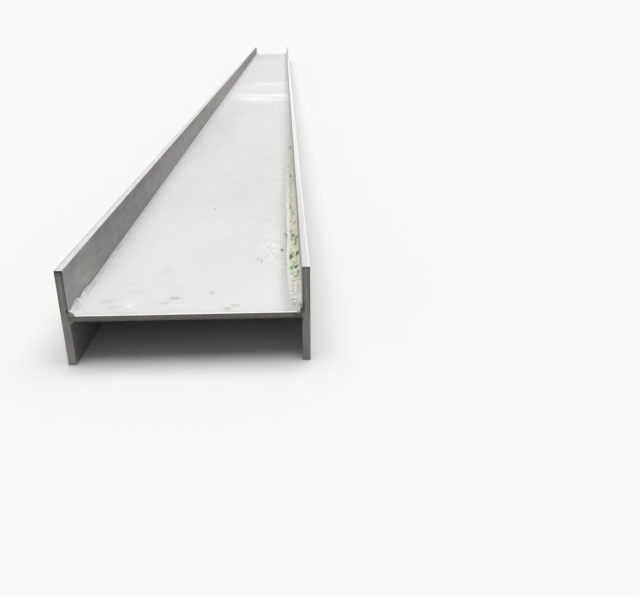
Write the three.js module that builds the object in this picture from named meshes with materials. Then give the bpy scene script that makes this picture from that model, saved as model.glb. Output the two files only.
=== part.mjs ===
// Welded steel H-beam: one 12 m length of stock, built up from three plates.
// Millimetres, +Z up. The beam lies on its flange tips, as it is stacked for storage: its length
// runs along Y, the section's depth along X and the flanges' width along Z, so that the web is level.
// Origin: on the ground, under the middle of the beam.
import * as THREE from 'three';

// ---- driving dimensions -------------------------------------------------------------------------
const stockLength = 12000;      // sold length
const sectionDepth = 600;       // over the outer faces of the two flanges
const flangeWidth = 250;
const flangeThickness = 20;
const webThickness = 16;
const arris = 1;                // dressed corner along the flange plates' long edges

const beadLeg = 9;              // fillet weld laid by machine, from the corner to each toe
const beadCrown = 1.6;          // how far its face bulges past a flat fillet
const beadArcSteps = 5;         // flats across the bead's face
const beadPitch = 150;          // spacing of the sections along the machine-laid run
const slowSwing = 700;          // length of one slow swing of the toes along the run
const slowReach = 0.3;          // how far it moves them
const quickSwing = 390;         // length of one quicker swing, on top of the slow one
const quickReach = 0.15;

const handRun = 240;            // last stretch at each end of an upper bead, filled in by hand
const lowerHandWork = 0.15;     // share of that work on the lower beads, laid by machine to the cut
const handFlangeLeg = 16;       // leg on the flange at the very end, without its lumps
const handWebLeg = 13;          // leg on the web there
const lumpPitch = 90;           // from one hand-laid lump to the next
const lumpSections = 10;        // sections in each lump
const flangeLumpReach = 4;      // how far a lump pushes the toe out on the flange
const webLumpPitch = 70;        // the web's toe swings out of step with the flange's
const webLumpReach = 2;
const craterRun = 20;           // length of the crater where the arc was broken
const craterDepth = 4;          // depth of the crater below the crown

// ---- what follows from them ---------------------------------------------------------------------
const halfLength = stockLength / 2;
const webCentre = flangeWidth / 2;                    // height of the web's middle above the ground
const webTop = webCentre + webThickness / 2;
const flangeInnerFace = sectionDepth / 2 - flangeThickness;

const steel = (color, roughness) => new THREE.MeshStandardMaterial({ color, roughness, metalness: 0.35 });
const flangeSteel = steel(0x8f908c, 0.62);
const webSteel = steel(0xd3d2d6, 0.58);
const weldSteel = steel(0xa9a9a8, 0.5);

const beam = new THREE.Group();
beam.name = 'steel_h_beam';

function addPiece(name, geometry, material) {
  const mesh = new THREE.Mesh(geometry, material);
  mesh.name = name;
  beam.add(mesh);
}

// A plate as rolled and cut to width: a profile in X and Z, run along the beam's whole length.
function plate(xMin, xMax, zMin, zMax, corner) {
  const profile = new THREE.Shape();
  profile.moveTo(xMin + corner, zMin);
  profile.lineTo(xMax - corner, zMin);
  if (corner > 0) profile.lineTo(xMax, zMin + corner);
  profile.lineTo(xMax, zMax - corner);
  if (corner > 0) profile.lineTo(xMax - corner, zMax);
  profile.lineTo(xMin + corner, zMax);
  if (corner > 0) profile.lineTo(xMin, zMax - corner);
  profile.lineTo(xMin, zMin + corner);
  profile.closePath();
  const geometry = new THREE.ExtrudeGeometry(profile, { depth: stockLength, bevelEnabled: false });
  return geometry.rotateX(Math.PI / 2).translate(0, halfLength, 0);
}

// Where the sections of a bead stand, measured from the end where its arc was struck.
function beadStations() {
  const handCount = Math.round((handRun / lumpPitch) * lumpSections);
  const hand = Array.from({ length: handCount }, (_, i) => (i / handCount) * handRun);
  const machineCount = Math.round((stockLength - 2 * handRun) / beadPitch);
  const machineStep = (stockLength - 2 * handRun) / machineCount;
  const machine = Array.from({ length: machineCount + 1 }, (_, i) => handRun + i * machineStep);
  return [...hand, ...machine, ...hand.map((distance) => stockLength - distance).reverse()];
}

// The bead's two legs and its crown at a distance from its strike. Along the machine-laid run the
// toes wander a little. Towards both ends the legs grow into hand-laid lumps by the share handWork,
// and the crown sinks into a crater at the stop.
function beadSection(distance, phase, handWork) {
  const swing = (length, along, shift) => Math.sin((2 * Math.PI * along) / length + shift);
  const machineLeg = beadLeg + slowReach * swing(slowSwing, distance, phase)
    + quickReach * swing(quickSwing, distance, 2 * phase);

  const fromEnd = Math.min(distance, stockLength - distance);
  const handShare = handWork * Math.cos((Math.PI / 2) * Math.min(fromEnd / handRun, 1));
  const flangeLump = flangeLumpReach * swing(lumpPitch, fromEnd, -phase);
  const webLump = webLumpReach * swing(webLumpPitch, fromEnd, phase);
  const flangeLeg = machineLeg + handShare * (handFlangeLeg - beadLeg + flangeLump);
  const webLeg = machineLeg + handShare * (handWebLeg - beadLeg + webLump);

  const fromStop = Math.min((stockLength - distance) / craterRun, 1);
  const crown = beadCrown * (Math.min(flangeLeg, webLeg) / beadLeg) - craterDepth * (1 - fromStop);
  return { flangeLeg, webLeg, crown };
}

// Half-rounded fillet in the corner between web and flange. side is -1 or 1 for the flange,
// up is -1 or 1 for the web's face, and strikeEnd says at which end of the beam the arc was struck.
function weldBead(side, up, strikeEnd, phase) {
  const cornerX = side * flangeInnerFace;
  const cornerZ = webCentre + (up * webThickness) / 2;
  const handWork = up > 0 ? 1 : lowerHandWork;
  const positions = [];
  const stations = beadStations();
  for (const distance of stations) {
    const { flangeLeg, webLeg, crown } = beadSection(distance, phase, handWork);
    const y = strikeEnd * (halfLength - distance);
    const slope = Math.hypot(flangeLeg, webLeg);
    positions.push(cornerX, y, cornerZ);
    for (let i = 0; i <= beadArcSteps; i += 1) {
      const t = i / beadArcSteps;
      const bulge = crown * Math.sin(Math.PI * t);
      const across = t * webLeg + (bulge * flangeLeg) / slope;
      const above = (1 - t) * flangeLeg + (bulge * webLeg) / slope;
      positions.push(cornerX - side * across, y, cornerZ + up * above);
    }
  }
  const ringSize = beadArcSteps + 2;
  const index = [];
  const turned = side * up * strikeEnd < 0;           // keeps the faces looking outward
  const face = (a, b, c) => (turned ? index.push(a, c, b) : index.push(a, b, c));
  for (let r = 0; r + 1 < stations.length; r += 1) {
    for (let i = 0; i < ringSize; i += 1) {
      const a = r * ringSize + i;
      const b = r * ringSize + ((i + 1) % ringSize);
      face(a, b, a + ringSize);
      face(b, b + ringSize, a + ringSize);
    }
  }
  const last = (stations.length - 1) * ringSize;
  for (let i = 1; i + 1 < ringSize; i += 1) {
    face(0, i + 1, i);
    face(last, last + i, last + i + 1);
  }
  const geometry = new THREE.BufferGeometry();
  geometry.setAttribute('position', new THREE.Float32BufferAttribute(positions, 3));
  geometry.setIndex(index);
  geometry.computeVertexNormals();
  return geometry;
}

// ---- the pieces ---------------------------------------------------------------------------------
addPiece('web_plate',
  plate(-flangeInnerFace, flangeInnerFace, webCentre - webThickness / 2, webTop, 0), webSteel);
addPiece('left_flange_plate',
  plate(-sectionDepth / 2, -flangeInnerFace, 0, flangeWidth, arris), flangeSteel);
addPiece('right_flange_plate',
  plate(flangeInnerFace, sectionDepth / 2, 0, flangeWidth, arris), flangeSteel);

// The two upper beads were laid from the near end, and the lower two, after turning the beam over,
// from the far end.
addPiece('weld_upper_left', weldBead(-1, 1, -1, 2.6), weldSteel);
addPiece('weld_upper_right', weldBead(1, 1, -1, 1.9), weldSteel);
addPiece('weld_lower_left', weldBead(-1, -1, 1, 3.1), weldSteel);
addPiece('weld_lower_right', weldBead(1, -1, 1, 4.6), weldSteel);

export default beam;
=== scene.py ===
"""Welded steel H-beam: the looks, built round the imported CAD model."""

import math
import random
from bisect import bisect_right

import bmesh
import bpy
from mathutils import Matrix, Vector, noise


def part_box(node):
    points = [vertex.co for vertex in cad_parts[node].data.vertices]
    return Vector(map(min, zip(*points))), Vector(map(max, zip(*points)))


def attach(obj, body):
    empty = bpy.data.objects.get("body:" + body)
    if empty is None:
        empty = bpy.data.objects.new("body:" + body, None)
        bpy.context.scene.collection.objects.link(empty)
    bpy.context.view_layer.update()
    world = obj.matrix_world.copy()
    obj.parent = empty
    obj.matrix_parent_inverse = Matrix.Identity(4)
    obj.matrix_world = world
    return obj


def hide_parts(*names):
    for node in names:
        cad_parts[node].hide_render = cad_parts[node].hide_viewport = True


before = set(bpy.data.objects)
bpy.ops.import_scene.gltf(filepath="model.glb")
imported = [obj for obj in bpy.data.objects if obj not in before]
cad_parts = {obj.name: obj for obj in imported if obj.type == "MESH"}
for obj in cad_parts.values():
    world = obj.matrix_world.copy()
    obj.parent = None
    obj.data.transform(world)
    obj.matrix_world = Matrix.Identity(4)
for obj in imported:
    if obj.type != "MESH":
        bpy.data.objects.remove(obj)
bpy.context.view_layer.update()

# ---- sizes, read from the CAD nodes (metres) ----
web_low, web_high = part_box("web_plate")
left_low, left_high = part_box("left_flange_plate")
right_low, right_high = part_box("right_flange_plate")
NEAR, FAR = web_low.y, web_high.y  # the two cut ends
LENGTH = FAR - NEAR
INNER = web_high.x  # inner face of the right flange; the left one mirrors it
OUTER = right_high.x
WEB_TOP, WEB_BOTTOM = web_high.z, web_low.z
WEB_MIDDLE = (WEB_TOP + WEB_BOTTOM) / 2
TIP = left_high.z  # upper tips of the flanges
MM = 0.001
SEED = 20


def clamp(value, low=0, high=1):
    return max(low, min(high, value))


def ease(value, low, high):
    """Smooth step of value from low to high."""
    t = clamp((value - low) / (high - low))
    return t * t * (3 - 2 * t)


def wave(x, y, z, seed=0):
    return noise.noise(Vector((x + 13.7 * seed, y - 5.1 * seed, z + 3.3 * seed)))


def end_depth(y):
    """How far a place along the beam is from the nearer cut end."""
    return min(y - NEAR, FAR - y)


# ---- mesh helpers ----
def add_object(name, data):
    obj = bpy.data.objects.new(name, data)
    bpy.context.scene.collection.objects.link(obj)
    return obj


def make_piece(name, verts, faces, material, crease, places=None, values=None):
    """Edges that bend by more than crease degrees are shaded sharp. places is a UV place per face
    corner, and values a number per vertex for each name."""
    mesh = bpy.data.meshes.new(name)
    mesh.from_pydata(verts, [], faces)
    if places:
        layer = mesh.uv_layers.new(name="OFBake")
        layer.data.foreach_set("uv", [c for place in places for c in place])
    for key, numbers in (values or {}).items():
        mesh.attributes.new(key, "FLOAT", "POINT").data.foreach_set("value", numbers)
    mesh.update()
    mesh.shade_smooth()
    mesh.set_sharp_from_angle(angle=math.radians(crease))
    mesh.materials.append(material)
    return add_object(name, mesh)


# A loft's map is cut across into strips side by side, under a band with its two end faces.
# These are shares of the map's height or width, or of a strip's.
MAP_MARGIN, STRIP_GAP = 0.01, 0.015
CAP_BAND, CAP_GAP, CAP_WIDTH = 0.035, 0.004, 0.47


def cap_places(ring, column):
    """Places of an end face, lying along the top of the map in its left or right half."""
    spans = []
    for axis in (0, 2):
        values = [p[axis] for p in ring]
        spans.append((min(values), max(values) - min(values), axis))
    spans.sort(key=lambda span: -span[1])
    (long_low, long_size, long_axis), (low, size, axis) = spans
    left, foot = MAP_MARGIN + 0.5 * column, 1 - CAP_BAND + CAP_GAP
    return [(left + CAP_WIDTH * (p[long_axis] - long_low) / long_size,
             foot + (CAP_BAND - 2 * CAP_GAP) * (p[axis] - low) / size) for p in ring]


def loft(name, rings, folds, material, crease, values=None):
    """Piece with a closed skin over a row of rings, each counter-clockwise as seen from the near
    end, and a map in folds strips."""
    size = len(rings[0])
    verts = [p for ring in rings for p in ring]
    girth = [0.0]
    middle = rings[len(rings) // 2]
    for i in range(size):
        girth.append(girth[-1] + math.dist(middle[i], middle[(i + 1) % size]))
    first_y, last_y = rings[0][0][1], rings[-1][0][1]
    strip = (last_y - first_y) / folds
    strip_height = 1 - CAP_BAND - 2 * MAP_MARGIN
    faces, places = [], []
    for s in range(len(rings) - 1):
        y0, y1 = rings[s][0][1], rings[s + 1][0][1]
        fold = int(clamp(((y0 + y1) / 2 - first_y) / strip, 0, folds - 1))
        v0, v1 = (MAP_MARGIN + strip_height * ((y - first_y) / strip - fold) for y in (y0, y1))
        a, b = s * size, (s + 1) * size
        for i in range(size):
            j = (i + 1) % size
            faces.append((a + i, b + i, b + j, a + j))
            u0, u1 = ((fold + STRIP_GAP + (1 - 2 * STRIP_GAP) * girth[k] / girth[-1]) / folds
                      for k in (i, i + 1))
            places += [(u0, v0), (u0, v1), (u1, v1), (u1, v0)]
    faces.append(tuple(range(size)))
    places += cap_places(rings[0], 0)
    last = (len(rings) - 1) * size
    faces.append(tuple(last + i for i in reversed(range(size))))
    places += cap_places(rings[-1], 1)[::-1]
    return make_piece(name, verts, faces, material, crease, places, values)


def stations(runs):
    """Places along the beam, mirrored about its middle. runs is (step, up to this depth) pairs."""
    depths, depth = [], 0
    for step, limit in runs:
        while depth < limit - step / 2:
            depths.append(depth)
            depth += step
        depth = limit
    middle = LENGTH / 2
    depths = [d for d in depths if d < middle - MM] + [middle]
    return [NEAR + d for d in depths] + [FAR - d for d in reversed(depths[:-1])]


def rounded_profile(low, high, radius, steps_x, steps_z, arc=3):
    """Points and outward normals of a rectangle with rounded corners, counter-clockwise."""
    corners = ((high.x - radius, low.z + radius), (high.x - radius, high.z - radius),
               (low.x + radius, high.z - radius), (low.x + radius, low.z + radius))
    points = []
    for k, (x, z) in enumerate(corners):
        for i in range(arc + 1):
            angle = math.radians(90 * (k - 1) + 90 * i / arc)
            n = (math.cos(angle), math.sin(angle))
            points.append((x + radius * n[0], z + radius * n[1], n))
        start_x, start_z, _ = points[-1]
        next_x, next_z = corners[(k + 1) % 4]
        steps = steps_x if k % 2 else steps_z
        for i in range(1, steps):
            t = i / steps
            points.append((start_x + (next_x - x) * t, start_z + (next_z - z) * t, n))
    return points


BEVEL_STEPS = (0, 0.12, 0.4, 1)  # where rings stand on an end's bevel


def plate_rings(profile, radius, places, shape, end_bevel):
    """Rings of a plate. shape(x, y, z, n) says how far a point is pushed along its normal. No point
    is pushed in as far as the middle of its rounded corner, so that a ring never crosses itself."""
    near = [NEAR + end_bevel * t for t in BEVEL_STEPS]
    inner = [y for y in places if NEAR + end_bevel < y < FAR - end_bevel]
    rings = []
    for y in near + inner + [FAR + NEAR - y for y in reversed(near)]:
        inset = 0
        if end_depth(y) < end_bevel:
            inset = end_bevel * (1 - math.sqrt(1 - (1 - end_depth(y) / end_bevel) ** 2))
        ring = []
        for x, z, n in profile:
            push = max(shape(x, y, z, n) - inset, -0.95 * radius)
            ring.append((x + n[0] * push, y, z + n[1] * push))
        rings.append(ring)
    return rings


# ---- weld beads: where their toes and faces are ----
HAND_RUN = 0.24                      # last stretch of a bead, laid by hand
LOWER_HAND_WORK = 0.15               # share of the hand work on the two lower beads
CROWN, CROWN_LEG = 1.6 * MM, 9 * MM  # bulge of a face between toes this far from the corner
CRATER_RUN, CRATER_DEPTH = 20 * MM, 4 * MM
TOE_WANDER, HAND_WANDER = 0.5, 0.9  # mm along the machine's run, and more by hand
FACE_GRAIN, HAND_LUMP = 0.25 * MM, 1.3 * MM
RIPPLE, RIPPLE_PITCH, RIPPLE_LAG = 0.16 * MM, 5.2 * MM, 4 * MM


class Bead:
    """One bead: the corner it fills, and its section at each place along the beam."""

    def __init__(self, node, side, up, strike_end, seed):
        self.node, self.side, self.up, self.seed = node, side, up, seed
        self.stop = -strike_end * LENGTH / 2
        self.x, self.z = side * INNER, (WEB_TOP if up > 0 else WEB_BOTTOM)
        toes = {}
        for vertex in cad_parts[node].data.vertices:
            key = round(vertex.co.y, 5)
            above, out = up * (vertex.co.z - self.z), side * (self.x - vertex.co.x)
            flange, web = toes.get(key, (0, 0))
            toes[key] = (max(flange, above), max(web, out))
        self.rows = [(y, *legs) for y, legs in sorted(toes.items())]
        self.places = [row[0] for row in self.rows]

    def wave(self, *place):
        return wave(*place, self.seed)

    def hand_share(self, y):
        """1 at a cut end of an upper bead, all hand-laid lumps, and 0 along the machine's run."""
        work = 1 if self.up > 0 else LOWER_HAND_WORK
        return work * math.cos(math.pi / 2 * min(end_depth(y) / HAND_RUN, 1))

    def legs(self, y):
        """Leg on the flange and leg on the web: the CAD's, with a finer wander of the toes."""
        i = min(max(bisect_right(self.places, y), 1), len(self.rows) - 1)
        (y0, flange0, web0), (y1, flange1, web1) = self.rows[i - 1], self.rows[i]
        t = clamp((y - y0) / (y1 - y0))
        wander = (TOE_WANDER + HAND_WANDER * self.hand_share(y)) * MM
        flange_swing = self.wave(0, y * 41, 2) + 0.6 * self.wave(0, y * 113, 7)
        web_swing = self.wave(0, y * 37, 5) + 0.7 * self.wave(0, y * 97, 6)
        return (flange0 + (flange1 - flange0) * t + wander * flange_swing,
                web0 + (web1 - web0) * t + wander * web_swing)

    def crown(self, y, flange, web):
        from_stop = min(abs(y - self.stop) / CRATER_RUN, 1)
        unsteady = 1 + 0.3 * self.wave(1, y * 30, 3)
        return CROWN * min(flange, web) / CROWN_LEG * unsteady - CRATER_DEPTH * (1 - from_stop)

    def face(self, y, t, scale=1):
        """A point of the face, out over the web and up the flange, and the face's slope there.
        t is 0 at the flange's toe and 1 at the web's."""
        flange, web = self.legs(y)
        hand = self.hand_share(y)
        middle = math.sin(math.pi * t)
        bulge = self.crown(y, flange, web) * middle ** 0.85
        bulge += middle * FACE_GRAIN * self.wave(t * 2, y * 120, 4)
        bulge += middle * hand * HAND_LUMP * self.wave(t * 2.4, y * 48, 9)
        lag = (2 * t - 1) ** 2 * RIPPLE_LAG
        phase = 2 * math.pi * (abs(y - self.stop) + lag) / RIPPLE_PITCH
        bulge += middle * hand * RIPPLE * math.sin(phase)
        slope = math.hypot(flange, web)
        n = (flange / slope, web / slope)
        return (scale * (t * web + bulge * n[0]), scale * ((1 - t) * flange + bulge * n[1])), n


BEADS = [Bead("weld_upper_left", -1, 1, -1, 21), Bead("weld_upper_right", 1, 1, -1, 22),
         Bead("weld_lower_left", -1, -1, 1, 23), Bead("weld_lower_right", 1, -1, 1, 24)]
CORNER_BEAD = BEADS[1]  # the one that the deposit lies on


# ---- the deposit in the right-hand corner ----
CRUST_WIDTH = 41 * MM                      # how far it reaches from the corner, over the web
CRUST_HAZE, CRUST_HAZE_TAPER = 0.35, 0.08  # its thin grey part loses this share at the near end
CREAM_WIDTH, CREAM_TAPER = 33 * MM, 0.045  # its thick part there, which tapers to nothing
CREAM_GROWS = (0.19, 0.3)                  # from here to there the thick part reaches its full width
CRUST_THIN, CRUST_RUN = 1.5, 4.6           # it thins from here and is gone there

# marks in the deposit, by tint: across the beam from its middle, along it from the near end, half
# width and half length (mm), then strength
DEPOSIT_MARKS = (
    ((0.8, 0.96, 0.78), ((255, 308, 17, 80, 0.65),)),
    ((0.15, 0.3, 0.15), (
        (256.6, 306, 8, 26, 0.75), (261.7, 324, 7, 14, 0.6), (258.5, 266, 9, 22, 0.28))),
    ((1, 0.995, 0.93), (
        (267.9, 257, 5, 12, 0.9), (267.6, 141, 4.5, 9, 0.9), (267.5, 116, 4.5, 9, 0.8),
        (253.5, 118, 4.5, 10, 0.8), (262.6, 63, 5, 10, 0.9), (271.9, 65, 5.5, 14, 0.9),
        (267.7, 37, 6, 12, 0.9), (270, 173, 4.5, 9, 0.8), (274.5, 62, 5, 34, 0.8))),
    ((0.27, 0.26, 0.18), ((277, 10, 5.5, 18, 0.75),)),
)

# dark growths in the deposit, measured in the same way
GROWTH_COLOR = (0.1, 0.115, 0.055)
GROWTHS = (
    (258.6, 962, 5.5, 50, 0.5), (266.7, 882, 5.5, 40, 0.45), (270.4, 753, 6, 32, 0.35),
    (258.5, 663, 6.5, 32, 0.45), (240.4, 617, 7, 28, 0.6), (263, 616, 9, 26, 0.7),
    (261, 581, 5, 30, 0.4), (273.7, 567, 6.5, 28, 0.65), (278.6, 575, 5.5, 26, 0.5),
    (272.1, 527, 6.5, 26, 0.65), (275.3, 419, 7.5, 24, 0.98), (256.8, 409, 7, 26, 0.98),
    (254, 394, 5.5, 20, 0.65), (262.5, 437, 6, 22, 0.5), (264.3, 347, 6, 22, 0.4),
    (270.7, 314, 7.5, 16, 0.98), (274.9, 259, 5, 24, 0.65), (267.3, 241, 7, 12, 0.45),
    (260.7, 172, 5, 14, 0.24), (257.8, 144, 5, 10, 0.22), (261.3, 116, 5, 10, 0.24),
    (256.9, 76, 5, 12, 0.16), (261.1, 48, 5, 10, 0.2), (264, 1504, 5, 36, 0.95),
    (267, 2202, 5.5, 55, 0.95),
)


# ---- shader helpers ----
class Shader:
    """A Principled material with short names for the nodes that feed it."""

    def __init__(self, name, roughness, metallic):
        self.material = bpy.data.materials.new(name)
        self.material.use_nodes = True
        self.nodes = self.material.node_tree.nodes
        self.links = self.material.node_tree.links
        self.surface = self.nodes["Principled BSDF"]
        self.fill(self.surface, Roughness=roughness, Metallic=metallic, Specular_IOR_Level=0.3)
        self.place = self.node("TexCoord").outputs["Object"]
        self.x, self.y, self.z = self.node("SeparateXYZ", Vector=self.place).outputs
        normal = self.node("VectorTransform", Vector=self.node("NewGeometry").outputs["True Normal"])
        normal.vector_type = "NORMAL"
        normal.convert_from, normal.convert_to = "WORLD", "OBJECT"
        _, normal_y, self.nz = self.node("SeparateXYZ", Vector=normal.outputs[0]).outputs
        self.cut_end = self.step(self.absolute(normal_y), 0.8, 0.92)
        self.run = self.minus(self.y, NEAR)                         # from the near end
        self.depth = self.minus(LENGTH / 2, self.absolute(self.y))  # from the nearer end
        self.on_left = self.step(self.x, 0.1, 0)
        self.on_right = self.step(self.x, 0, 0.1)

    def feed(self, socket, value):
        value = value.color if isinstance(value, Coat) else value
        if isinstance(value, bpy.types.NodeSocket):
            self.links.new(value, socket)
        elif value is not None:
            socket.default_value = (*value, 1) if socket.type == "RGBA" else value

    def fill(self, node, **inputs):
        for name, value in inputs.items():
            self.feed(node.inputs[name.replace("_", " ")], value)

    def node(self, kind, operation=None, **inputs):
        node = self.nodes.new("ShaderNode" + kind)
        if operation:
            node.operation = operation
        self.fill(node, **inputs)
        return node

    def attribute(self, name):
        node = self.node("Attribute")
        node.attribute_name = name
        return node.outputs["Fac"]

    def math(self, operation, a, b=None):
        node = self.node("Math", operation)
        self.feed(node.inputs[0], a)
        self.feed(node.inputs[1], b)
        return node.outputs[0]

    def plus(self, a, b):
        return self.math("ADD", a, b)

    def minus(self, a, b):
        return self.math("SUBTRACT", a, b)

    def absolute(self, a):
        return self.math("ABSOLUTE", a)

    def times(self, *factors):
        out = factors[0]
        for factor in factors[1:]:
            out = self.math("MULTIPLY", out, factor)
        return out

    def step(self, value, low, high, out_low=0, out_high=1):
        """Smooth step of value from low to high."""
        node = self.node("MapRange", Value=value, From_Min=low, From_Max=high, To_Min=out_low,
                         To_Max=out_high)
        node.interpolation_type = "SMOOTHSTEP"
        return node.outputs[0]

    def along(self, *limits):
        """Smooth step along the beam, from the near end."""
        return self.step(self.run, *limits)

    def mm(self, value, low, high):
        """Smooth step between limits in mm."""
        return self.step(value, low * MM, high * MM)

    def between(self, mask, at_0, at_1):
        return self.step(mask, 0, 1, at_0, at_1)

    def band(self, value, middle, half, soft=0.6):
        """1 near middle, and 0 from half away."""
        return self.step(self.absolute(self.minus(value, middle)), half, half * (1 - soft))

    def texture(self, kind, stretch, **inputs):
        """stretch is a further scale for each of x, y and z."""
        place = self.place
        if stretch:
            place = self.node("Mapping", Vector=place, Scale=stretch).outputs[0]
        return self.node(kind, Vector=place, **inputs)

    def noise(self, scale, detail=4, rough=0.55, stretch=None):
        node = self.texture("TexNoise", stretch, Scale=scale, Detail=detail, Roughness=rough)
        return node.outputs["Fac"]

    def swing(self, noise, reach):
        """The noise about 0, times reach."""
        return self.times(self.minus(noise, 0.5), reach)

    def dots(self, scale, size, share, stretch=None):
        """Round dots in a share of the cells, size of a cell across."""
        cells = self.texture("TexVoronoi", stretch, Scale=scale)
        chance = self.node("SeparateColor", Color=cells.outputs["Color"])
        picked = self.math("LESS_THAN", chance.outputs[0], share)
        return self.times(picked, self.step(cells.outputs["Distance"], size, size * 0.45))

    def spot(self, x, run, half_x, half_run, ragged, share=1, soft=0.7):
        """Mask of an oval mark on the web, measured in mm, share at its middle. ragged is noise
        about 0 that breaks up its edge."""
        half_x, half_y = half_x * MM, half_run * MM
        scaled = self.node("VectorMath", "MULTIPLY_ADD", Vector=self.place)
        scaled.inputs[1].default_value = (1 / half_x, 1 / half_y, 0)
        scaled.inputs[2].default_value = (-x * MM / half_x, -(NEAR + run * MM) / half_y, 0)
        away = self.node("VectorMath", "LENGTH", Vector=scaled.outputs[0]).outputs["Value"]
        return self.step(self.plus(away, ragged), 1, 1 - soft, 0, share)

    def mix(self, mask, under, over):
        node = self.node("Mix")
        node.data_type = "RGBA"
        for index, value in ((0, mask), (6, under), (7, over)):
            self.feed(node.inputs[index], value)
        return node.outputs[2]

    def bump(self, *layers):
        """Bump from (height, strength, depth in mm) layers."""
        normal = None
        for height, strength, depth in layers:
            normal = self.node("Bump", Height=height, Strength=strength, Distance=depth * MM,
                               Normal=normal).outputs[0]
        self.fill(self.surface, Normal=normal)

    def finish(self, color, roughness=None):
        self.fill(self.surface, Base_Color=color, Roughness=roughness)
        return self.material


class Coat:
    """A colour of the shader s, built up in layers."""

    def __init__(self, s, mask, under, over):
        self.s, self.color = s, s.mix(mask, under, over)

    def lay(self, tint, *masks):
        """A layer of tint, as strong as all the masks together."""
        self.color = self.s.mix(self.s.times(*masks), self.color, tint)

    def tints(self, *rows):
        """Layers from rows of noise, where it starts, where it is full, strength and tint."""
        for noise, low, high, share, tint in rows:
            self.lay(tint, self.s.step(noise, low, high, 0, share))

    def shade(self, amount):
        """The colour times amount, the same in red, green and blue."""
        self.color = self.s.node("VectorMath", "SCALE", Vector=self.color, Scale=amount).outputs[0]

    def tone(self, share, *masks):
        """This share of the brightness where all the masks are 1."""
        self.shade(self.s.between(self.s.times(*masks), 1, share))


# ---- materials ----
def cut_end_coat(s):
    """Cut and lightly oxidised end faces: brown-grey with violet tints and upright streaks."""
    streaks = s.noise(1, 4, 0.6, (420, 1, 26))
    patches = s.noise(1, 3, 0.6, (70, 1, 22))
    tint = s.noise(34, 3)
    ends = Coat(s, s.step(streaks, 0.34, 0.68), (0.287, 0.274, 0.252), (0.387, 0.373, 0.341))
    ends.tints((patches, 0.52, 0.74, 0.5, (0.44, 0.43, 0.392)),
               (tint, 0.5, 0.72, 0.5, (0.343, 0.276, 0.278)),
               (tint, 0.46, 0.28, 0.4, (0.285, 0.288, 0.236)))
    return ends


def deposit_layer(s):
    """Cover and colour of the dried deposit, wherever on the steel it lies."""
    reach = s.minus(INNER, s.x)
    lobes = s.plus(s.swing(s.noise(11, 2), 13 * MM), s.swing(s.noise(60, 3), 8 * MM))

    def taper(share, length):
        """1 further in, less by a share at the near end."""
        left = s.math("EXPONENT", s.math("DIVIDE", s.run, -length))
        return s.minus(1, s.times(left, share))

    # how far a place is inside the edge of the whole deposit, and of its thick part
    width = s.times(taper(CRUST_HAZE, CRUST_HAZE_TAPER),
                    s.along(CRUST_THIN, CRUST_RUN, 1, 0), CRUST_WIDTH)
    inward = s.plus(s.minus(width, reach), lobes)
    cream = s.plus(s.times(taper(1, CREAM_TAPER), CREAM_WIDTH),
                   s.along(*CREAM_GROWS, 0, CRUST_WIDTH - CREAM_WIDTH + 8 * MM))
    tongue = s.plus(s.minus(cream, reach), lobes)

    patch = s.noise(38, 4, 0.6)
    grain = s.noise(150, 4, 0.65)
    thick = s.times(s.along(0.16, 0.3), s.along(1.5, 0.7))
    soft = s.along(0.8, 2.2, 1, 3.2)
    cover = s.times(s.mm(s.math("DIVIDE", inward, soft), -2, 5), s.along(3.4, 0.9, 0.5, 0.92),
                    s.along(4 * MM, 11 * MM), s.step(grain, 0.3, 0.44, 0.55, 1))
    crust = Coat(s, s.step(patch, 0.36, 0.64), (0.84, 0.845, 0.72), (0.93, 0.925, 0.845))
    thinned = s.mix(s.step(patch, 0.4, 0.62), (0.6, 0.605, 0.55), (0.78, 0.78, 0.73))
    crust.lay(thinned, s.along(0.8, 1.8))
    crust.lay((0.8, 0.82, 0.6), thick, s.step(patch, 0.62, 0.4, 0, 0.8))
    haze = s.mm(tongue, 6, -2)
    crust.lay((0.64, 0.675, 0.62), haze)
    # olive pits and pale grains, drawn out along the beam
    drawn = (1, 0.38, 1)
    near = s.along(0.34, 0.2)
    crust.lay((0.33, 0.35, 0.24), s.dots(118, 0.5, 0.55, drawn), s.step(haze, 0.9, 0.4),
              s.between(near, 0.16, 0.66))
    crust.lay((1, 0.995, 0.93), s.dots(131, 0.5, 0.6, drawn), near, s.step(haze, 0.8, 0.2), 0.85)
    # its edge has dried to a grey line with a pale ridge inside it, and a furrow further in
    crust.lay((0.52, 0.53, 0.515), s.band(inward, 2 * MM, 6 * MM), thick, 0.95)
    crust.lay((0.98, 0.985, 0.9), s.band(inward, 10 * MM, 6 * MM), thick, 0.8)
    crust.lay((0.5, 0.51, 0.44), s.band(inward, 23 * MM, 6 * MM), s.band(s.run, 1.15, 0.55), 0.55)
    # small grey-green pits everywhere, dark green clumps where it is thickest
    crust.lay((0.52, 0.54, 0.45), s.dots(150, 0.42, 0.5), 0.35)
    ripe = s.times(s.along(0.28, 0.38), s.along(1.05, 0.65))
    crust.lay((0.36, 0.39, 0.24), s.dots(125, 0.5, 0.32, drawn),
              s.step(s.plus(ripe, grain), 0.65, 1.2), s.mm(inward, 10, 16), 0.45)
    ragged = s.swing(grain, 1.4)
    for tint, marks in (*DEPOSIT_MARKS, (GROWTH_COLOR, GROWTHS)):
        for *place, share in marks:
            crust.lay(tint, s.spot(*place, ragged, share))
    crust.shade(s.along(0.25, 0.9, 1.03, 1.08))
    return cover, crust, grain, inward


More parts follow.
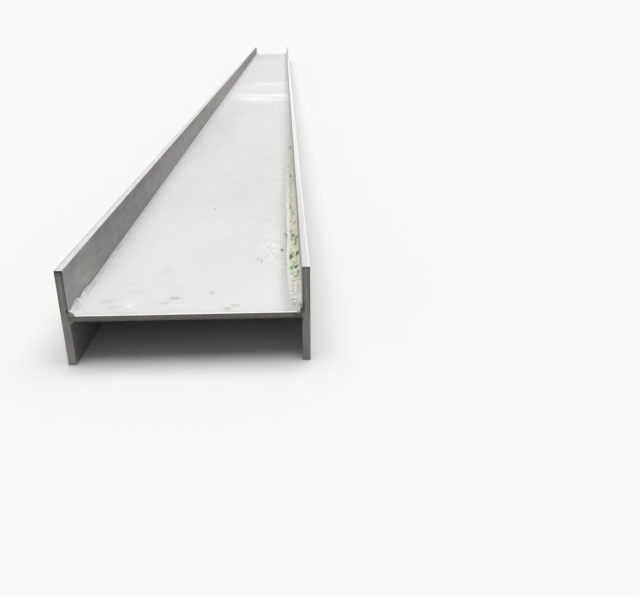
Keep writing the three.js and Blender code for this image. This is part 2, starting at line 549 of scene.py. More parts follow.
# paler and darker bands across the web: middle and half length along the beam, where it fades in
# across the beam (all in metres from the beam's middle), then tint and strength
BANDS = (
    (-0.75, 1.1, -0.36, -0.2, (0.835, 0.815, 0.8), 0.5),
    (-0.06, 0.36, -0.2, 0, (0.945, 0.94, 0.932), 0.62),
    (-0.06, 0.3, 0.08, 0.2, (0.77, 0.765, 0.76), 0.45),
    (-0.5, 0.3, -0.36, -0.2, (0.86, 0.85, 0.84), 0.4),
    (-0.34, 0.07, -0.2, 0, (0.64, 0.635, 0.63), 0.45),
    (-1.38, 0.5, -0.26, -0.02, (0.955, 0.95, 0.942), 0.95),
    (-1.2, 0.22, -0.32, -0.14, (0.91, 0.9, 0.89), 0.5),
    (-0.98, 0.08, -0.2, 0, (0.66, 0.655, 0.65), 0.35),
)

# scuffs and stains on the web, measured as those in the deposit, then tint, strength and, of those
# that are broken up into dots, a word
MARKS = (
    (-149, 56, 10, 14, (0.98, 0.98, 0.99), 0.75),
    (-158, 64, 30, 26, (0.98, 0.98, 0.99), 0.95, "dotted"),
    (-120, 43, 24, 14, (0.96, 0.96, 0.97), 0.95, "dotted"),
    (-150, 95, 40, 24, (0.95, 0.95, 0.96), 0.75, "dotted"),
    (-43, 101, 26, 14, (0.53, 0.53, 0.51), 0.9),
    (-63, 71, 24, 14, (0.64, 0.635, 0.6), 0.7),
    (-30, 50, 28, 15, (0.95, 0.945, 0.94), 0.9, "dotted"),
    (-35, 28, 40, 18, (0.74, 0.725, 0.8), 0.55),
    (47, 132, 10, 19, (0.6, 0.575, 0.57), 0.75),
    (96, 28, 20, 13, (0.58, 0.585, 0.49), 0.8),
    (112, 48, 18, 14, (0.6, 0.605, 0.52), 0.75),
    (-209, 88, 30, 20, (0.68, 0.665, 0.655), 0.6),
    (-185, 50, 24, 14, (0.66, 0.66, 0.655), 0.55),
    (-167, 209, 30, 6, (0.66, 0.66, 0.655), 0.6),
    (-153, 148, 30, 6, (0.65, 0.65, 0.64), 0.6),
    (-95, 310, 18, 34, (0.69, 0.685, 0.68), 0.45),
    (158, 391, 15, 28, (0.62, 0.61, 0.6), 0.5),
    (170, 378, 3, 28, (0.44, 0.43, 0.42), 0.8),
    (229, 470, 7, 24, (0.08, 0.08, 0.075), 0.97),
    (-29, 996, 16, 70, (0.93, 0.925, 0.92), 0.8, "dotted"),
    (-23, 960, 4.5, 16, (0.36, 0.35, 0.34), 0.85),
    (-16, 502, 7, 20, (0.9, 0.895, 0.89), 0.7, "dotted"),
    (-55, 1885, 105, 14, (0.88, 0.87, 0.86), 0.65),
    (-45, 1786, 95, 12, (0.66, 0.655, 0.65), 0.4),
    (137, 1413, 7, 22, (0.6, 0.595, 0.59), 0.6),
    (-258, 3920, 90, 640, (0.8, 0.765, 0.87), 0.6),
    (-262, 1650, 60, 800, (0.8, 0.77, 0.84), 0.4),
    (221, 7300, 9, 3400, (0.93, 0.92, 0.91), 0.65),
    (-164, 11940, 130, 240, (0.97, 0.96, 0.95), 0.95),
    (-50, 10900, 360, 1300, (0.62, 0.615, 0.61), 0.65),
)


def web_material():
    s = Shader("web_steel", 0.58, 0.12)
    clouds = s.noise(1.6, 4, 0.55, (2, 0.8, 1))
    hue = s.noise(5.5, 3, 0.5, (1.3, 0.9, 1))
    mottle = s.noise(15, 5, 0.6)
    fine = s.noise(190, 3, 0.6)
    across = s.noise(1, 4, 0.65, (7, 70, 5))
    steel = Coat(s, s.step(clouds, 0.34, 0.66), (0.752, 0.748, 0.742), (0.795, 0.79, 0.782))
    steel.tints((hue, 0.52, 0.68, 0.55, (0.785, 0.76, 0.765)),
                (hue, 0.48, 0.32, 0.55, (0.755, 0.768, 0.742)),
                (mottle, 0.46, 0.66, 0.22, (0.7, 0.695, 0.7)),
                (mottle, 0.44, 0.28, 0.25, (0.84, 0.835, 0.825)),
                (across, 0.52, 0.72, 0.07, (0.66, 0.655, 0.65)),
                (fine, 0.56, 0.72, 0.13, (0.6, 0.59, 0.585)))
    # a little duller further in, most of all on the left
    steel.shade(s.along(0.1, 1.4, 1.05, 0.985))
    steel.shade(s.along(2, 4.5, 1, 0.975))
    steel.tone(0.935, s.step(s.x, 0.02, -0.2), s.band(s.y, -3.1, 1.7, 0.8))
    # painted light beside the welds, most on the left, making up for the shade the flanges cast
    # there, and a little darker right in the corner, partly grime and partly painted shade
    from_toe = s.minus(s.minus(INNER, s.absolute(s.x)), s.attribute("toe"))
    steel.tone(1.115, s.mm(from_toe, 54, 0), s.between(s.on_left, 0.25, 1))
    ragged = s.noise(24, 4, 0.65)
    steel.lay((0.55, 0.545, 0.56), s.mm(from_toe, 14, 0), s.step(ragged, 0.4, 0.66), 0.2)
    # darker again near the left bead, holding that painted light back there, and a lilac sheen on the
    # left
    steel.tone(0.92, s.mm(from_toe, 48, 6), s.on_left, s.along(0.12, 0.4),
               s.step(ragged, 0.32, 0.6, 0.45, 1))
    steel.lay((0.85, 0.84, 0.9), s.mm(from_toe, 80, 8), s.step(s.x, -0.1, -0.18),
              s.along(1, 0.15), 0.3)
    # sparse rust and dirt specks
    steel.lay((0.36, 0.34, 0.31), s.dots(46, 0.16, 0.02), 0.5)
    # grainy patch beside the deposit
    patch = s.spot(205, 540, 60, 400, s.swing(mottle, 2.2), soft=0.9)
    drawn = (1, 0.45, 1)
    steel.lay((0.5, 0.495, 0.49), patch, s.dots(66, 0.52, 0.5, drawn), 0.34)
    steel.lay((0.94, 0.935, 0.93), patch, s.dots(71, 0.52, 0.5, drawn), 0.7)
    # bands rubbed by the bearers of an earlier stack, a little bent across the web
    bent = s.plus(s.y, s.swing(s.noise(2.6, 3), 0.42))
    bent = s.plus(bent, s.times(s.x, s.x, -1.6))
    grain = s.noise(1, 4, 0.6, (3.5, 18, 3))
    for middle, half, low_x, high_x, tint, share in BANDS:
        steel.lay(tint, s.band(bent, middle, half, 0.85), s.step(s.x, low_x, high_x),
                  s.step(grain, 0.36, 0.6, 0.25, 1), share)
    ragged = s.swing(s.noise(70, 3), 1.7)
    speckle = s.dots(150, 0.55, 0.6, drawn)
    for x, run, half_x, half_run, tint, share, *dotted in MARKS:
        mask = s.spot(x, run, half_x, half_run, ragged, share)
        steel.lay(tint, mask, *([speckle] if dotted else []))
    # the dried deposit
    upward = s.step(s.nz, -0.2, 0.5)
    cover, deposit, lumps, inward = deposit_layer(s)
    steel.lay((0.56, 0.55, 0.58), s.mm(inward, -25, -1), s.along(2.6, 1.2), 0.5)
    steel.lay(deposit, cover, upward)
    # the top is a little darker just behind each cut end's arris
    steel.tone(0.93, s.mm(s.depth, 3, 7), s.mm(s.depth, 26, 12))
    # underside and edges darker than the top, partly a mill finish and partly painted shade where
    # less light falls;
    # the cut ends are bare, with a painted highlight along the top arris
    mill_and_shade = s.mix(s.step(clouds, 0.4, 0.6), (0.36, 0.355, 0.35), (0.45, 0.445, 0.435))
    steel = Coat(s, upward, mill_and_shade, steel)
    ends = cut_end_coat(s)
    ends.shade(0.85)
    ends.shade(s.step(s.z, WEB_TOP - 4.5 * MM, WEB_TOP - 2.5 * MM, 1, 0.74))
    ends.shade(s.step(s.z, WEB_BOTTOM + 4 * MM, WEB_BOTTOM + 1 * MM, 1, 0.52))
    # painted shade on the right-hand end of each cut face, in the corner by the right flange
    ends.shade(s.step(s.x, 0.25, 0.266, 1, 0.6))
    steel.lay(ends, s.cut_end)
    # painted highlight along the top arris of each cut end
    steel.lay((0.95, 0.945, 0.94), s.mm(s.depth, 6.5, 4), s.step(s.nz, 0.25, 0.6))
    s.bump((s.noise(700, 3, 0.6), 0.18, 0.4), (mottle, 0.18, 1.2), (across, 0.08, 0.8),
           (s.times(cover, lumps), 0.35, 1.5))
    return s.finish(steel, s.step(mottle, 0.3, 0.7, 0.5, 0.68))


def flange_material():
    s = Shader("flange_steel", 0.62, 0.12)
    clouds = s.noise(2.6, 5, 0.6, (1, 0.6, 1.5))
    mottle = s.noise(21, 6, 0.62)
    streaks = s.noise(1, 4, 0.6, (2, 2.2, 90))
    upright = s.noise(1, 3, 0.6, (2, 30, 1.5))
    hue = s.noise(6, 3, 0.55, (1, 0.3, 1))
    blotches = s.noise(42, 3, 0.6, (1, 0.3, 1))
    patches = s.noise(13, 3, 0.6, (1, 0.2, 1))
    fine = s.noise(210, 4, 0.65, (1, 0.55, 1))
    scratches = s.noise(1, 3, 0.5, (3, 5, 380))
    # sides darker than the web's top, partly the steel's own tone and partly painted shade on upright
    # faces
    steel = Coat(s, s.step(clouds, 0.35, 0.66), (0.405, 0.4, 0.39), (0.475, 0.47, 0.46))
    steel.tints((hue, 0.5, 0.66, 0.8, (0.455, 0.435, 0.44)))
    green = s.math("MAXIMUM", s.times(s.step(hue, 0.48, 0.34), s.along(0.8, 2.2, 0.15, 0.8)),
                   s.times(s.band(s.run, 3, 1), s.step(hue, 0.62, 0.44), 0.7))
    steel.lay((0.415, 0.435, 0.385), green)
    steel.shade(s.step(blotches, 0.32, 0.68, 0.91, 1.09))
    steel.shade(s.step(patches, 0.34, 0.66, 0.94, 1.06))
    # mottling and streaks, and mill scale in fine flecks
    steel.tints((mottle, 0.5, 0.72, 0.35, (0.34, 0.335, 0.325)),
                (mottle, 0.44, 0.28, 0.35, (0.53, 0.525, 0.515)),
                (streaks, 0.55, 0.75, 0.22, (0.33, 0.325, 0.32)),
                (upright, 0.55, 0.75, 0.2, (0.35, 0.345, 0.335)),
                (fine, 0.53, 0.68, 0.4, (0.32, 0.315, 0.305)),
                (fine, 0.46, 0.33, 0.34, (0.56, 0.555, 0.545)))
    # thin rubbed lines along the beam
    steel.lay((0.62, 0.615, 0.605), s.step(scratches, 0.6, 0.68), s.step(mottle, 0.42, 0.58),
              s.step(clouds, 0.4, 0.6), 0.4)
    # darker between half a metre and two metres in, along the lip, and again towards the far end
    steel.tone(0.745, s.along(0.14, 0.38), s.along(3.4, 0.45))
    steel.tone(0.93, s.band(s.run, 0.55, 0.5))
    steel.tone(0.91, s.band(s.run, 3.3, 1.3))
    steel.tone(0.88, s.step(s.z, 0.195, 0.238), s.along(3.8, 2.2))
    steel.shade(s.along(4.6, 5.6, 1, 0.93))
    steel.shade(s.along(5.8, 9, 1, 0.8))
    # the inner faces: the right one is paler, as painted light against the shade it stands in, and
    # greenish and brown near its end
    edge = s.absolute(s.x)
    from_inner = s.minus(edge, INNER)
    inside = s.mm(s.absolute(from_inner), 4, 1)
    steel.tone(1.6, inside, s.on_right)
    steel.lay((0.405, 0.44, 0.395), inside, s.along(0.36, 0.06), s.step(s.z, 0.24, 0.17), 0.3)
    steel.lay((0.44, 0.385, 0.34), inside, s.on_right, s.along(0.16, 0.03),
              s.step(s.z, 0.18, 0.215), 0.85)
    # painted shade in the undercut along the bead's toe, and a darker band above it
    height = s.minus(s.absolute(s.minus(s.z, WEB_MIDDLE)), (WEB_TOP - WEB_BOTTOM) / 2)
    above = s.minus(height, s.attribute("toe"))
    strong = s.times(s.step(s.depth, 0.3, 0.16, 0.45, 0.85), s.step(s.depth, 0, 0.09, 0.3, 1),
                     s.step(s.noise(17, 2), 0.38, 0.58, 0.35, 1))
    steel.lay((0.215, 0.2, 0.215), s.band(above, 0.6 * MM, 3.6 * MM, 0.7), inside, strong,
              s.between(s.on_right, 1, 0.45))
    steel.lay((0.31, 0.3, 0.315), s.mm(above, 22, 0), inside, s.step(mottle, 0.3, 0.6),
              s.between(s.on_right, 1, 0.5), 0.3)
    steel.lay((0.25, 0.225, 0.2), s.dots(60, 0.16, 0.035), 0.5)
    # what has dried on the right flange, just above its bead, a quarter darker as painted shade on
    # the upright face
    cover, deposit, _, _ = deposit_layer(s)
    deposit.shade(0.75)
    steel.lay(deposit, cover, inside, s.on_right, s.mm(above, 14, 2), s.step(s.nz, 0.5, 0.2), 0.6)
    # upper tips: pale cream, partly their own tone and partly painted light from above, a little pink
    # in places, with a grey line on the left one's outer arris and a painted highlight on the right
    # one's
    tips = Coat(s, s.step(mottle, 0.4, 0.64), (0.8, 0.785, 0.76), (0.735, 0.72, 0.7))
    tips.lay((0.78, 0.69, 0.68), s.step(hue, 0.52, 0.66), s.step(s.noise(13, 3), 0.45, 0.6), 0.6)
    lilac = s.mix(s.along(0.25, 1.3), (0.715, 0.69, 0.745), (0.86, 0.85, 0.865))
    tips.lay(lilac, s.on_right, 0.8)
    tips.lay((0.97, 0.965, 0.97), s.on_right, s.along(2.5, 5), 0.7)
    away = s.plus(edge, s.times(s.noise(60, 3), 3 * MM))
    outer = s.step(away, OUTER - 4.5 * MM, OUTER - 2 * MM)
    tips.lay((0.44, 0.43, 0.425), outer, s.on_left, 0.62)
    tips.lay((0.97, 0.965, 0.97), outer, s.on_right, 0.9)
    tips.lay((0.5, 0.45, 0.43), s.dots(70, 0.42, 0.38, (1, 0.5, 1)), s.on_left, 0.65)
    tips.lay((0.47, 0.46, 0.475), s.along(7.2, 10.2, 0, 0.8))
    steel.lay(tips, s.step(s.nz, 0.55, 0.85))
    # downward faces darker, partly mill finish and partly painted shade
    steel.lay((0.3, 0.295, 0.29), s.step(s.nz, -0.5, -0.8))
    # cut ends: dark rims round the upper half, a near-black top edge, a lighter lower half
    ends = cut_end_coat(s)
    # painted light: the left ends brighter than the right ones
    ends.shade(s.between(s.on_right, 1.14, 1))
    rise = s.step(s.z, 0.1, 0.15)
    ragged = s.swing(s.noise(90, 3), 3 * MM)
    out = s.plus(from_inner, ragged)
    ends.lay((0.14, 0.13, 0.13), rise, s.mm(out, 4.6, 2.2), 0.7)
    ends.lay((0.13, 0.125, 0.12), rise, s.mm(out, 16, 18.4), 0.55)
    ends.lay((0.58, 0.57, 0.555), rise, s.band(out, 10 * MM, 5 * MM, 0.8), 0.45)
    ends.lay((0.6, 0.59, 0.58), s.step(rise, 1, 0, 0, 0.35))
    # painted light: the left end brighter again low down, towards the floor
    ends.tone(1.17, s.step(s.z, 0.085, 0.04), s.on_left)
    ends.tone(0.85, s.on_left, s.step(s.z, TIP - 56 * MM, TIP - 22 * MM))
    ends.tone(0.62, s.on_left, s.step(s.plus(s.z, ragged), TIP - 19 * MM, TIP - 10 * MM))
    ends.lay((0.06, 0.055, 0.055), s.step(s.z, TIP - 7 * MM, TIP - 4.5 * MM),
             s.step(s.x, 0.1, 0, 0.45, 0.9))
    # painted shade of a notch above the left bead, and a blush and a dark olive-brown patch on the
    # right
    ends.lay((0.07, 0.065, 0.055), s.on_left, s.band(from_inner, 4 * MM, 4 * MM),
             s.band(s.z, WEB_TOP + 12 * MM, 7 * MM), 0.8)
    ends.lay((0.44, 0.31, 0.33), s.on_right, s.mm(from_inner, 9, 2), s.step(s.z, 0.19, 0.225), 0.7)
    ends.lay((0.1, 0.092, 0.065), s.on_right, s.mm(out, 9, 3),
             s.band(s.z, WEB_TOP + 14 * MM, 19 * MM, 0.7), 0.85)
    steel.lay(ends, s.cut_end)
    s.bump((s.noise(620, 3, 0.6), 0.2, 0.4), (mottle, 0.2, 1.2), (streaks, 0.1, 0.6))
    return s.finish(steel, s.step(mottle, 0.3, 0.7, 0.54, 0.7))


def weld_material():
    s = Shader("weld_metal", 0.5, 0.2)
    t = s.attribute("across")  # 0 at the flange's toe, 1 at the web's
    lag = s.times(s.math("POWER", s.absolute(s.minus(t, 0.5)), 2), 16 * MM)
    wobble = s.times(s.noise(40, 2), 10 * MM)
    ripple = s.math("SINE", s.times(s.plus(s.plus(s.y, lag), wobble), 2 * math.pi / (3 * MM)))
    slow = s.noise(48, 4, 0.6)
    patchy = s.noise(60, 3)
    on_top = s.step(s.z, WEB_MIDDLE, WEB_TOP)
    hand = s.times(s.step(s.depth, HAND_RUN, 0.06), on_top)
    metal = Coat(s, s.step(slow, 0.36, 0.66), (0.66, 0.655, 0.65), (0.77, 0.765, 0.76))
    # paler where laid by hand: its own tone, with painted highlights on the lumps
    hand_laid_and_highlights = s.mix(s.step(slow, 0.34, 0.56), (0.74, 0.73, 0.75), (0.9, 0.895, 0.905))
    metal.lay(hand_laid_and_highlights, hand, 0.85)
    metal.lay((0.5, 0.495, 0.49), s.step(ripple, 0.2, 1, 0, 0.12), s.step(hand, 1, 0, 0.3, 1))
    # painted shade in the undercut at the flange's toe, and painted shade of a valley along the
    # middle of the left bead
    faint = s.math("MAXIMUM", s.step(s.x, 0, 0.1, 1, 0.4), s.along(3, 5))
    metal.lay((0.29, 0.28, 0.285), s.step(t, s.between(hand, 0.24, 0.12), 0.03),
              s.step(patchy, 0.3, 0.5, 0.5, 0.9), faint)
    metal.lay((0.46, 0.455, 0.46), s.band(t, 0.52, 0.26), s.on_left,
              s.step(s.noise(15, 2), 0.46, 0.58), s.step(s.depth, 0.14, 0.3), s.along(3, 1.5), 0.55)
    # painted shade by the flange between crests with painted highlights, where it was laid by hand
    metal.lay((0.47, 0.455, 0.475), s.step(t, 0.55, 0.15), hand, s.step(s.depth, 0.015, 0.05),
              s.step(slow, 0.58, 0.44), 0.75)
    metal.lay((0.96, 0.955, 0.95), s.band(t, 0.24, 0.2), s.step(s.depth, 0.12, 0.04), hand,
              s.step(slow, 0.46, 0.58), 0.6)
    metal.lay((0.45, 0.445, 0.44), s.step(t, 0.88, 0.98), s.step(patchy, 0.54, 0.68), 0.22)
    # painted shade towards the flange's toe and painted light towards the web's
    metal.shade(s.step(t, 0.15, 0.98, 0.93, 1.15))
    cover, deposit, lumps, _ = deposit_layer(s)
    metal.lay(deposit, cover, s.step(s.nz, -0.1, 0.3), s.step(t, 0.2, 0.5), 0.9)
    # cut ends: bare metal under a painted highlight along the arris, painted shade on the right-hand
    # ones, a painted highlight on the upper right one's end, and dark olive-brown in the right-hand
    # corner
    out = s.minus(INNER, s.absolute(s.x))
    highlight_run = s.between(s.on_right, 5.5 * MM, 9 * MM)
    metal.lay((0.95, 0.945, 0.93), s.step(s.math("DIVIDE", s.depth, highlight_run), 1.3, 0.8),
              s.step(s.nz, 0.1, 0.35))
    ends = cut_end_coat(s)
    # painted shade: the right-hand ends half as bright, the lower one darker again; the left ones a
    # little brighter
    ends.shade(s.between(s.on_right, 1.1, 0.5))
    ends.tone(0.6, s.on_right, s.step(s.z, WEB_MIDDLE, WEB_BOTTOM))
    # painted highlight on the upper right bead's cut end, away from the flange
    ends.lay((0.97, 0.965, 0.95), s.on_right, s.mm(out, 3.5, 6), on_top, 0.95)
    metal.lay(ends, s.cut_end)
    metal.lay((0.16, 0.15, 0.1), s.on_right, s.mm(s.depth, 22, 8), s.mm(out, 6, 3.5), on_top, 0.78)
    s.bump((ripple, 0.25, 0.5), (slow, 0.3, 1.5), (s.noise(500, 3), 0.2, 0.4),
           (s.times(cover, lumps), 0.3, 1.5))
    return s.finish(metal, s.step(slow, 0.3, 0.7, 0.44, 0.6))


def crust_material():
    s = Shader("corner_crust", 0.85, 0)
    _, deposit, grain, _ = deposit_layer(s)
    s.bump((grain, 0.35, 1.5), (s.noise(600, 3), 0.3, 0.5))
    return s.finish(deposit)


def clump_material():
    s = Shader("corner_growth", 0.9, 0)
    grain = s.noise(300, 3, 0.6)
    s.bump((grain, 0.4, 1))
    return s.finish(s.mix(s.step(grain, 0.4, 0.62), (0.1, 0.12, 0.06), (0.3, 0.34, 0.19)))


# ---- plates ----
FLANGE_CORNER, WEB_CORNER = 1.7 * MM, 2 * MM   # radius of the rounded long edges
FLANGE_BEVEL, WEB_BEVEL = 1 * MM, 1.6 * MM     # radius of the cut ends' edges
FLANGE_INSET, WEB_INSET = 0.25 * MM, 0.2 * MM  # keep the wavy faces inside the CAD's
NICK_REACH = 3.2 * MM                          # knocks are this near to an arris
# steps from ring to ring, and how far from a cut end each goes on
FLANGE_STEPS = ((5 * MM, 0.3), (12 * MM, 0.6), (24 * MM, LENGTH / 2))
WEB_STEPS = ((6 * MM, 0.3), (14 * MM, 0.6), (28 * MM, LENGTH / 2))
FLANGE_FOLDS, WEB_FOLDS, PLATE_CREASE = 5, 3, 34


def nick(y, z, seed):
    """Small knocks along an arris, as depth in metres."""
    rough = wave(0, y * 14, z * 3, seed)
    knock = max(0, wave(4, y * 5, z * 2, seed + 2) - 0.42)
    return 0.22 * MM * rough + 2.6 * MM * knock


def plate_piece(name, rings, folds, material, leg):
    """A plate with the nearest bead's toe at each vertex. leg is 0 on a flange and 1 on the web."""
    toes = []
    for ring in rings:
        legs = [bead.legs(ring[0][1])[leg] for bead in BEADS]
        toes += [legs[(x >= 0) + 2 * (z <= WEB_MIDDLE)] for x, _, z in ring]
    return loft(name, rings, folds, material, PLATE_CREASE, {"toe": toes})


def build_flange(name, low, high, seed):
    def shape(x, y, z, n):
        push = 0.16 * MM * wave(x * 4, y * 1.7, z * 9, seed)
        push += 0.06 * MM * wave(x, y * 11, z * 30, seed)
        if min(x - low.x, high.x - x) + min(z - low.z, high.z - z) < NICK_REACH:
            push -= nick(y, z, seed + 5)
        return push - FLANGE_INSET

    profile = rounded_profile(low, high, FLANGE_CORNER, 3, 22)
    rings = plate_rings(profile, FLANGE_CORNER, stations(FLANGE_STEPS), shape, FLANGE_BEVEL)
    return plate_piece(name, rings, FLANGE_FOLDS, flange_steel, 0)


def build_web():
    def shape(x, y, z, n):
        if abs(n[1]) < 0.5:
            return 0
        push = 0.35 * MM * wave(x * 2.2, y * 0.9, 0, 3) + 0.1 * MM * wave(x * 12, y * 6, 1, 4)
        return push - WEB_INSET

    profile = rounded_profile(web_low, web_high, WEB_CORNER, 44, 4)
    rings = plate_rings(profile, WEB_CORNER, stations(WEB_STEPS), shape, WEB_BEVEL)
    return plate_piece("web_plate_detail", rings, WEB_FOLDS, web_steel, 1)


# ---- weld beads ----
SINK = 1.6 * MM                         # a bead is fused this far into both plates
FACE_STEPS = 11                         # flats across its face
BEAD_BEVEL, END_SHARE = 1.3 * MM, 0.95  # its dressed edge, and what that leaves of the section
BEAD_STEPS = ((BEAD_BEVEL, HAND_RUN), (4 * MM, 0.32), (9 * MM, LENGTH / 2))
BEAD_FOLDS, BEAD_CREASE = 14, 40


def build_bead(bead):
    rings, across = [], []
    steps = [i / FACE_STEPS for i in range(FACE_STEPS + 1)]
    shares = [0.5, 0.0, *steps, 1.0]
    clockwise = bead.side * bead.up < 0
    for y in stations(BEAD_STEPS):
        scale = END_SHARE + (1 - END_SHARE) * clamp(end_depth(y) / BEAD_BEVEL)
        flange, web = bead.legs(y)
        face = [bead.face(y, t, scale)[0] for t in steps]
        ring = [(-SINK, -SINK), (-SINK, flange * scale), *face, (web * scale, -SINK)]
        points = [(bead.x - bead.side * out, y, bead.z + bead.up * above) for out, above in ring]
        rings.append(points[::-1] if clockwise else points)
        across += shares[::-1] if clockwise else shares
    return loft(bead.node + "_detail", rings, BEAD_FOLDS, weld_metal, BEAD_CREASE, {"across": across})


# ---- small things on the steel ----
SPATTER_COUNT, SPATTER_REACH = 420, 55 * MM  # how many, and how far from a toe
CRUST_GRAIN_COUNT, SMALL_CLUMP_COUNT = 420, 24
GRAIN_CREASE = 80
SKIN_RUN = 2.6  # length of the deposit's skin
SKIN_START, SKIN_STEP = 10 * MM, 4 * MM
SKIN_SINK, SKIN_CLIMB = 1.2 * MM, 7 * MM     # into the steel, and up the flange above the bead
SKIN_COLUMNS, ON_FLANGE, ON_BEAD = 26, 3, 9  # the rest of the columns lie on the web
SKIN_FOLDS, SKIN_CREASE = 5, 60


def grains(name, spots, material, cuts=1, rough=0.18):
    """Many small lumps in one piece. Each spot is (place, radii)."""
    ball = bmesh.new()
    bmesh.ops.create_icosphere(ball, subdivisions=cuts, radius=1)
    verts, faces = [], []
    for number, (place, radii) in enumerate(spots):
        base = len(verts)
        for v in (vertex.co for vertex in ball.verts):
            k = 1 + rough * 2 * wave(v.x * 1.3, v.y * 1.3, v.z * 1.3, number * 0.37)
            verts.append(tuple(p + c * r * k for p, c, r in zip(place, v, radii)))
        faces += [tuple(base + vertex.index for vertex in face.verts) for face in ball.faces]
    ball.free()
    return make_piece(name, verts, faces, material, GRAIN_CREASE)


def spatter_spots():
    """Weld spatter frozen on the plates beside the four beads."""
    rng = random.Random(SEED + 1)
    spots = []
    for _ in range(SPATTER_COUNT):
        bead = rng.choice(BEADS)
        depth = rng.random() ** 1.7 * LENGTH / 2
        y = NEAR + depth if rng.random() < 0.5 else FAR - depth
        away = rng.random() ** 2 * SPATTER_REACH + 1 * MM
        r = rng.uniform(0.5, 1.25) * MM
        flange, web = bead.legs(y)
        if rng.random() < 0.6:
            out, above, radii = web + away, 0.2 * r, (r, r * 1.2, r * 0.8)
        else:
            out, above, radii = 0.2 * r, flange + away, (r * 0.8, r * 1.2, r)
        spots.append(((bead.x - bead.side * out, y, bead.z + bead.up * above), radii))
    return spots


def crust_reach(run):
    """How far the thick part of the deposit reaches from the corner, over the web."""
    near = CREAM_WIDTH * (1 - math.exp(-run / CREAM_TAPER))
    grown = (CRUST_WIDTH - CREAM_WIDTH) * ease(run, *CREAM_GROWS)
    return (near + grown) * (1 - ease(run, CRUST_THIN, CRUST_RUN))


def skin_lift(run, out, share):
    """Height of the skin over the steel. share is 0 at its upper edge and 1 at its outer one."""
    y = NEAR + run
    cover = wave(out * 60, y * 26, 0, 11) + 0.6 * wave(out * 170, y * 80, 2, 12)
    thick = 0.55 + 0.55 * ease(run, 0.15, 0.3) * (1 - ease(run, 0.9, 1.5))
    edge = ease(share, 0, 0.2) * (1 - ease(share, 0.7, 0.95))
    fade = 1 - ease(run, 1, SKIN_RUN)
    level = edge * (thick + 0.8 * cover) * fade - 0.3 * (1 - edge * fade)
    return clamp(1.4 * MM * level, -0.7 * MM, 1.6 * MM)


def skin_place(y, column, flange, web, outside):
    """A place on the bare steel, out over the web and up the flange, and the slope there."""
    if column < ON_FLANGE:
        return (0, flange + SKIN_CLIMB * (1 - column / ON_FLANGE)), (1, 0)
    if column < ON_FLANGE + ON_BEAD:
        return CORNER_BEAD.face(y, (column - ON_FLANGE + 0.5) / ON_BEAD)
    first = ON_FLANGE + ON_BEAD - 1
    t = (column - first) / (SKIN_COLUMNS - first)
    return (web + outside * t, 0), (0, 1)


def build_crust():
    """A thin lumpy skin that climbs over the bead; where it is thin it dips under the steel."""
    rings = []
    for y in [NEAR + SKIN_START + i * SKIN_STEP for i in range(round(SKIN_RUN / SKIN_STEP))]:
        run = y - NEAR
        flange, web = CORNER_BEAD.legs(y)
        outside = max(crust_reach(run) * 0.94 - web, 1.5 * MM)
        top, under = [], []
        for column in range(SKIN_COLUMNS + 1):
            (out, above), n = skin_place(y, column, flange, web, outside)
            lift = skin_lift(run, out - above, column / SKIN_COLUMNS)
            for side, push in ((top, lift), (under, -SKIN_SINK)):
                side.append((INNER - out - n[0] * push, y, WEB_TOP + above + n[1] * push))
        rings.append(top + under[::-1])
    return loft("corner_crust", rings, SKIN_FOLDS, crust, SKIN_CREASE)


def crust_grains():
    rng = random.Random(SEED + 2)
    spots = []
    while len(spots) < CRUST_GRAIN_COUNT:
        run = rng.random() ** 1.5 * SKIN_RUN + 6 * MM
        _, web = CORNER_BEAD.legs(NEAR + run)
        out = web + rng.random() ** 1.2 * max(crust_reach(run) - web, 0)
        if wave(out * 90, run * 40, 1, 15) < -0.05:
            continue
        r = rng.uniform(0.6, 1.7) * MM
        spots.append(((INNER - out, NEAR + run, WEB_TOP + 0.4 * r),
                      (r, r * rng.uniform(1, 2.6), r * 0.7)))
    return spots


def growth_clumps():
    """Dark green clumps: up to four on each strong growth, and small ones between."""
    rng = random.Random(SEED + 3)
    places = []
    for x, run, half_x, half_run, share in GROWTHS:
        for _ in range(round(5 * share) - 1 if share > 0.5 else 0):
            places.append((INNER - x * MM + rng.uniform(-0.5, 0.5) * half_x * MM,
                           NEAR + run * MM + rng.uniform(-0.6, 0.6) * half_run * MM,
                           rng.uniform(1.4, 2.6) * MM))
    for _ in range(SMALL_CLUMP_COUNT):
        places.append((rng.uniform(10, 31) * MM, NEAR + rng.triangular(0.26, 1.6, 0.45),
                       rng.uniform(0.9, 1.5) * MM))
    spots = []
    for out, y, r in places:
        _, web = CORNER_BEAD.legs(y)
        lifted = max(0, web - out) + 0.8 * MM
        spots.append(((INNER - out, y, WEB_TOP + lifted), (r, r * rng.uniform(1.2, 2.6), r * 0.75)))
    return spots


# ---- build ----
web_steel = web_material()
flange_steel = flange_material()
weld_metal = weld_material()
crust = crust_material()
growth = clump_material()

web = build_web()
left_flange = build_flange("left_flange_detail", left_low, left_high, 1)
right_flange = build_flange("right_flange_detail", right_low, right_high, 2)
beads = [build_bead(bead) for bead in BEADS]
spatter = grains("weld_spatter", spatter_spots(), weld_metal)
deposit = build_crust()
deposit_grains = grains("corner_crust_grains", crust_grains(), crust)
clumps = grains("corner_growth", growth_clumps(), growth, 2, 0.32)

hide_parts("web_plate")
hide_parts("left_flange_plate")
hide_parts("right_flange_plate")
for bead, piece in zip(BEADS, beads):
    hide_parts(bead.node)
for piece in (web, left_flange, right_flange, *beads, spatter, deposit, deposit_grains, clumps):
    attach(piece, "root")


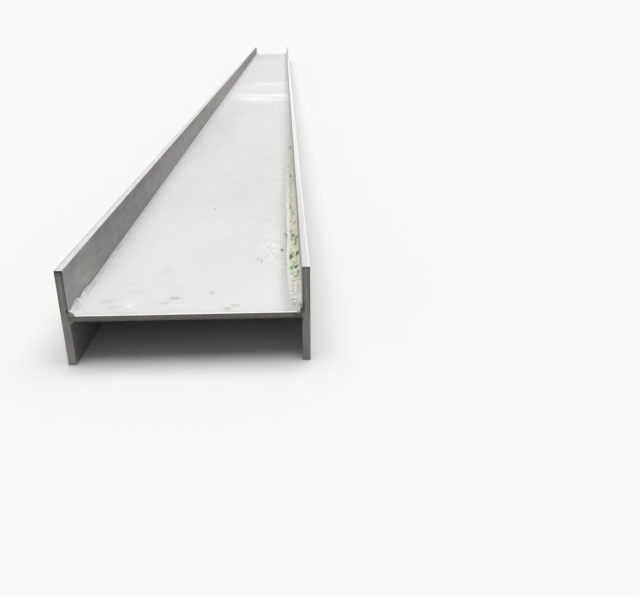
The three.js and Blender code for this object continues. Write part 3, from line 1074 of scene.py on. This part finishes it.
# ---- floor, light, camera ----
def backdrop(tree, lit, seen):
    """One colour for rays that show the backdrop, from the camera, by reflection or through glass,
    and one for those that light the beam."""
    path = tree.nodes.new("ShaderNodeLightPath")
    shown = path.outputs["Is Camera Ray"]
    for name in ("Is Glossy Ray", "Is Transmission Ray"):
        either = tree.nodes.new("ShaderNodeMath")
        either.operation = "MAXIMUM"
        tree.links.new(shown, either.inputs[0])
        tree.links.new(path.outputs[name], either.inputs[1])
        shown = either.outputs[0]
    mix = tree.nodes.new("ShaderNodeMix")
    mix.data_type = "RGBA"
    tree.links.new(shown, mix.inputs[0])
    mix.inputs[6].default_value = (*lit, 1)
    mix.inputs[7].default_value = (*seen, 1)
    return mix.outputs[2]


floor_half = 400
mesh = bpy.data.meshes.new("floor")
corners = [(x * floor_half, y * floor_half, 0) for x, y in ((-1, -1), (1, -1), (1, 1), (-1, 1))]
mesh.from_pydata(corners, [], [(0, 1, 2, 3)])
material = bpy.data.materials.new("floor")
material.use_nodes = True
surface = material.node_tree.nodes["Principled BSDF"]
surface.inputs["Roughness"].default_value = 0.9
surface.inputs["Specular IOR Level"].default_value = 0
color = backdrop(material.node_tree, lit=(0.25, 0.25, 0.25), seen=(1, 1, 1))
material.node_tree.links.new(color, surface.inputs["Base Color"])
mesh.materials.append(material)
add_object("floor", mesh)

world = bpy.data.worlds.new("studio")
world.use_nodes = True
# seen as bright as the lit floor in front of it
color = backdrop(world.node_tree, lit=(0.24, 0.24, 0.243), seen=(0.945, 0.945, 0.945))
world.node_tree.links.new(color, world.node_tree.nodes["Background"].inputs["Color"])

sun = bpy.data.lights.new("softbox", "SUN")
sun.energy = 2.25
sun.angle = math.radians(62)
sun.color = (1, 0.995, 0.985)
sun_from = Vector((0.06, 0.09, 1))
add_object("softbox", sun).rotation_euler = sun_from.to_track_quat("Z", "Y").to_euler()

data = bpy.data.cameras.new("camera")
data.sensor_width = 36
data.lens = 37.845
data.clip_start, data.clip_end = 0.05, 1500
camera = add_object("camera", data)
camera.location = (0.2498, NEAR - 1.4993, 0.799)
aim = Vector((0.04503693, 0.92084699, -0.38731446))
camera.rotation_euler = aim.to_track_quat("-Z", "Y").to_euler()

bpy.context.scene.world = world
bpy.context.scene.camera = camera
bpy.context.scene.view_settings.view_transform = "Standard"
